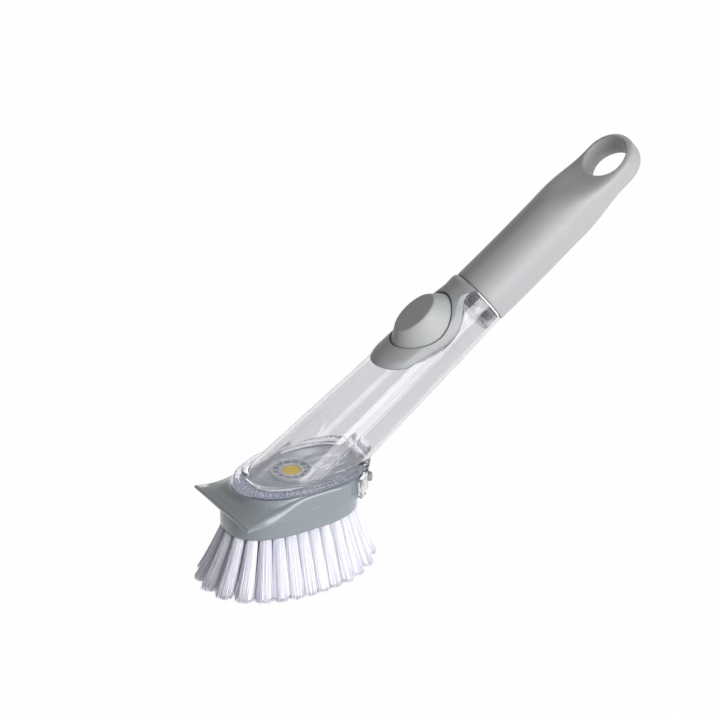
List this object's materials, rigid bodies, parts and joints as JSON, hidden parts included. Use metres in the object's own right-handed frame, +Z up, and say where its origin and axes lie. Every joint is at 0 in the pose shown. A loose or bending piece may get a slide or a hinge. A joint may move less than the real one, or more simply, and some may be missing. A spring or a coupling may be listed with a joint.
{
  "type": "dish wand",
  "caption": "Soap-dispensing dish wand: screw-off grip with a hanging eye, clear reservoir with a push-button pump, and a clip-on scrub brush head with a scraper edge.",
  "frame": {"origin": "middle of the bounding box's bottom face, in the plane of the bristle tips", "axes": "+Z up out of the bristles, +X from the brush head towards the handle's hanging eye, +Y to the left of the wand"},
  "size_m": [0.2464, 0.063, 0.1816],
  "materials": {
    "grip_plastic": "satin soft-touch grey",
    "neck_plastic": "satin grey",
    "dark_rubber": "matt",
    "seal_rubber": "matt translucent white",
    "clear_plastic": "polished clear",
    "ring_plastic": "satin",
    "yellow_silicone": "satin",
    "bezel_plastic": "satin",
    "button_plastic": "satin",
    "spring_steel": "bright wire",
    "head_plastic": "glossy bluish grey",
    "nylon": "white bristle"
  },
  "bodies": {
    "reservoir": {"reservoir_tube": "clear_plastic", "filler_neck": "clear_plastic", "base_plate": "clear_plastic", "valve_cage": "ring_plastic", "slit_valve": "yellow_silicone", "valve_ring": "ring_plastic", "button_bezel": "bezel_plastic", "pump_tray": "bezel_plastic", "bellows_ring": "neck_plastic", "air_valve": "seal_rubber", "pump_bellows": "seal_rubber", "button_spring": "spring_steel"},
    "button": {"button_cap": "button_plastic"},
    "seal_lift": {"neck_gasket": "seal_rubber"},
    "grip": {"handle_grip": "grip_plastic", "neck_plug": "neck_plastic", "neck_o_ring": "dark_rubber"},
    "head": {"head_shell": "head_plastic", "bristle_block": "head_plastic", "bristles": "nylon", "tuft_staples": "spring_steel", "port_seal": "seal_rubber", "snap_spring_left": "spring_steel", "snap_spring_right": "spring_steel"},
    "snap_left": {"snap_button_left": "neck_plastic"},
    "snap_right": {"snap_button_right": "neck_plastic"}
  },
  "joints": [
    {"name": "button_press", "type": "slide", "parent": "reservoir", "child": "button", "axis": [0.5592, 0, -0.829], "range_m": [0, 0.003], "stiffness_N_per_m": 600, "springref_m": -0.002, "deforming": ["pump_bellows", "button_spring"]},
    {"name": "grip_lift", "type": "slide", "parent": "reservoir", "child": "seal_lift", "axis": [0.829, 0, 0.5592], "range_m": [0, 0.009]},
    {"name": "grip_unscrew", "type": "hinge", "parent": "seal_lift", "child": "grip", "pos_m": [0.03453, 0, 0.11798], "axis": [0.829, 0, 0.5592], "range_deg": [0, 720]},
    {"name": "head_release", "type": "slide", "parent": "reservoir", "child": "head", "axis": [0, 0, -1], "range_m": [0, 0.03]},
    {"name": "snap_left_press", "type": "slide", "parent": "head", "child": "snap_left", "axis": [-0.8572, -0.515, 0], "range_m": [0, 0.0015], "stiffness_N_per_m": 800, "springref_m": -0.0005, "deforming": ["snap_spring_left"]},
    {"name": "snap_right_press", "type": "slide", "parent": "head", "child": "snap_right", "axis": [-0.8572, 0.515, 0], "range_m": [0, 0.0015], "stiffness_N_per_m": 800, "springref_m": -0.0005, "deforming": ["snap_spring_right"]}
  ],
  "couplings": [
    {"joint": "grip_unscrew", "follows": "grip_lift", "rad_per_m": 1396.3}
  ]
}
